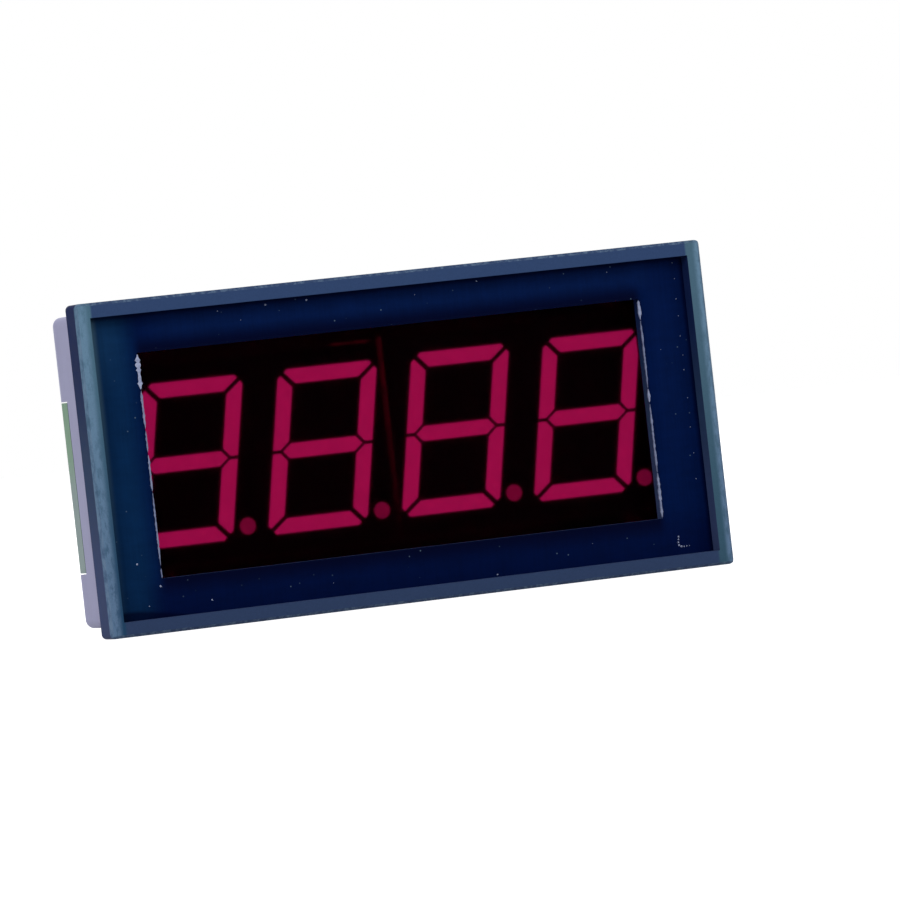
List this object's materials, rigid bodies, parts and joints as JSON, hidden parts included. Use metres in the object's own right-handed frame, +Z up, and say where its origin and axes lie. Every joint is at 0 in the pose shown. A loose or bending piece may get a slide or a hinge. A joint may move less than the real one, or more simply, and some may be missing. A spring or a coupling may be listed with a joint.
{
  "type": "digital panel meter",
  "caption": "Snap-in digital panel meter: dark framed bezel, red filter over slanted seven-segment digits, grey case and a populated circuit board with header, trimmer and jumper.",
  "frame": {"origin": "centre of the case cross-section in the plane where the back of the bezel flange seats on the panel", "axes": "+Z up, the display faces -Y, +Y runs out of the back through the panel cut-out, +X to the right as seen from the front"},
  "size_m": [0.0582, 0.0241, 0.0288],
  "materials": {
    "bezel_plastic": "smooth dark blue-black moulding, rim slightly worn",
    "red_acrylic": "clear deep red sheet",
    "grey_plastic": "pale lavender-grey moulding, satin",
    "display_shell": "grey moulding with a black printed face",
    "segment_resin": "red diffusing cast resin",
    "tinned_wire": "tinned copper",
    "board_laminate": "green lacquered glass laminate",
    "screw_steel": "zinc plated",
    "chip_moulding": "black moulding compound",
    "trimmer_plastic": "blue moulding",
    "rotor_plastic": "off-white moulding",
    "capacitor_box": "red moulded box",
    "can_sleeve": "shrink sleeve over an aluminium can",
    "disc_coat": "dipped orange-brown coat",
    "resistor_coat": "tan lacquer with colour bands",
    "diode_glass": "sealed glass",
    "header_plastic": "black moulding",
    "gilt_pins": "thin gilt over brass",
    "spring_bronze": "phosphor bronze strip"
  },
  "bodies": {
    "meter": {"front_bezel": "bezel_plastic", "filter_window": "red_acrylic", "rear_case": "grey_plastic", "left_display_housing": "display_shell", "left_display_segments": "segment_resin", "left_display_pins": "tinned_wire", "right_display_housing": "display_shell", "right_display_segments": "segment_resin", "right_display_pins": "tinned_wire", "circuit_board": "board_laminate", "board_screws": "screw_steel", "converter_chip": "chip_moulding", "converter_chip_leads": "tinned_wire", "trimmer_body": "trimmer_plastic", "trimmer_leads": "tinned_wire", "integrator_capacitor": "capacitor_box", "integrator_capacitor_leads": "tinned_wire", "auto_zero_capacitor": "capacitor_box", "auto_zero_capacitor_leads": "tinned_wire", "reference_capacitor": "capacitor_box", "reference_capacitor_leads": "tinned_wire", "supply_capacitor": "can_sleeve", "supply_capacitor_leads": "tinned_wire", "negative_supply_capacitor": "can_sleeve", "negative_supply_capacitor_leads": "tinned_wire", "oscillator_capacitor": "disc_coat", "oscillator_capacitor_leads": "tinned_wire", "voltage_reference": "chip_moulding", "voltage_reference_leads": "tinned_wire", "integrator_resistor": "resistor_coat", "integrator_resistor_leads": "tinned_wire", "input_resistor": "resistor_coat", "input_resistor_leads": "tinned_wire", "reference_resistor": "resistor_coat", "reference_resistor_leads": "tinned_wire", "oscillator_resistor": "resistor_coat", "oscillator_resistor_leads": "tinned_wire", "feed_resistor": "resistor_coat", "feed_resistor_leads": "tinned_wire", "protection_diode": "diode_glass", "protection_diode_leads": "tinned_wire", "signal_header": "header_plastic", "signal_header_pins": "gilt_pins", "point_header": "header_plastic", "point_header_pins": "gilt_pins"},
    "trimmer_screw": {"trimmer_rotor": "rotor_plastic"},
    "jumper": {"point_shunt": "header_plastic", "point_shunt_contact": "spring_bronze"}
  },
  "joints": [
    {"name": "trimmer_turn", "type": "hinge", "parent": "meter", "child": "trimmer_screw", "pos_m": [0.0139, 0.0175, 0.00282], "axis": [0, 1, 0], "range_deg": [-135, 135]},
    {"name": "jumper_pull", "type": "slide", "parent": "meter", "child": "jumper", "axis": [0, 1, 0], "range_m": [0, 0.007]}
  ]
}
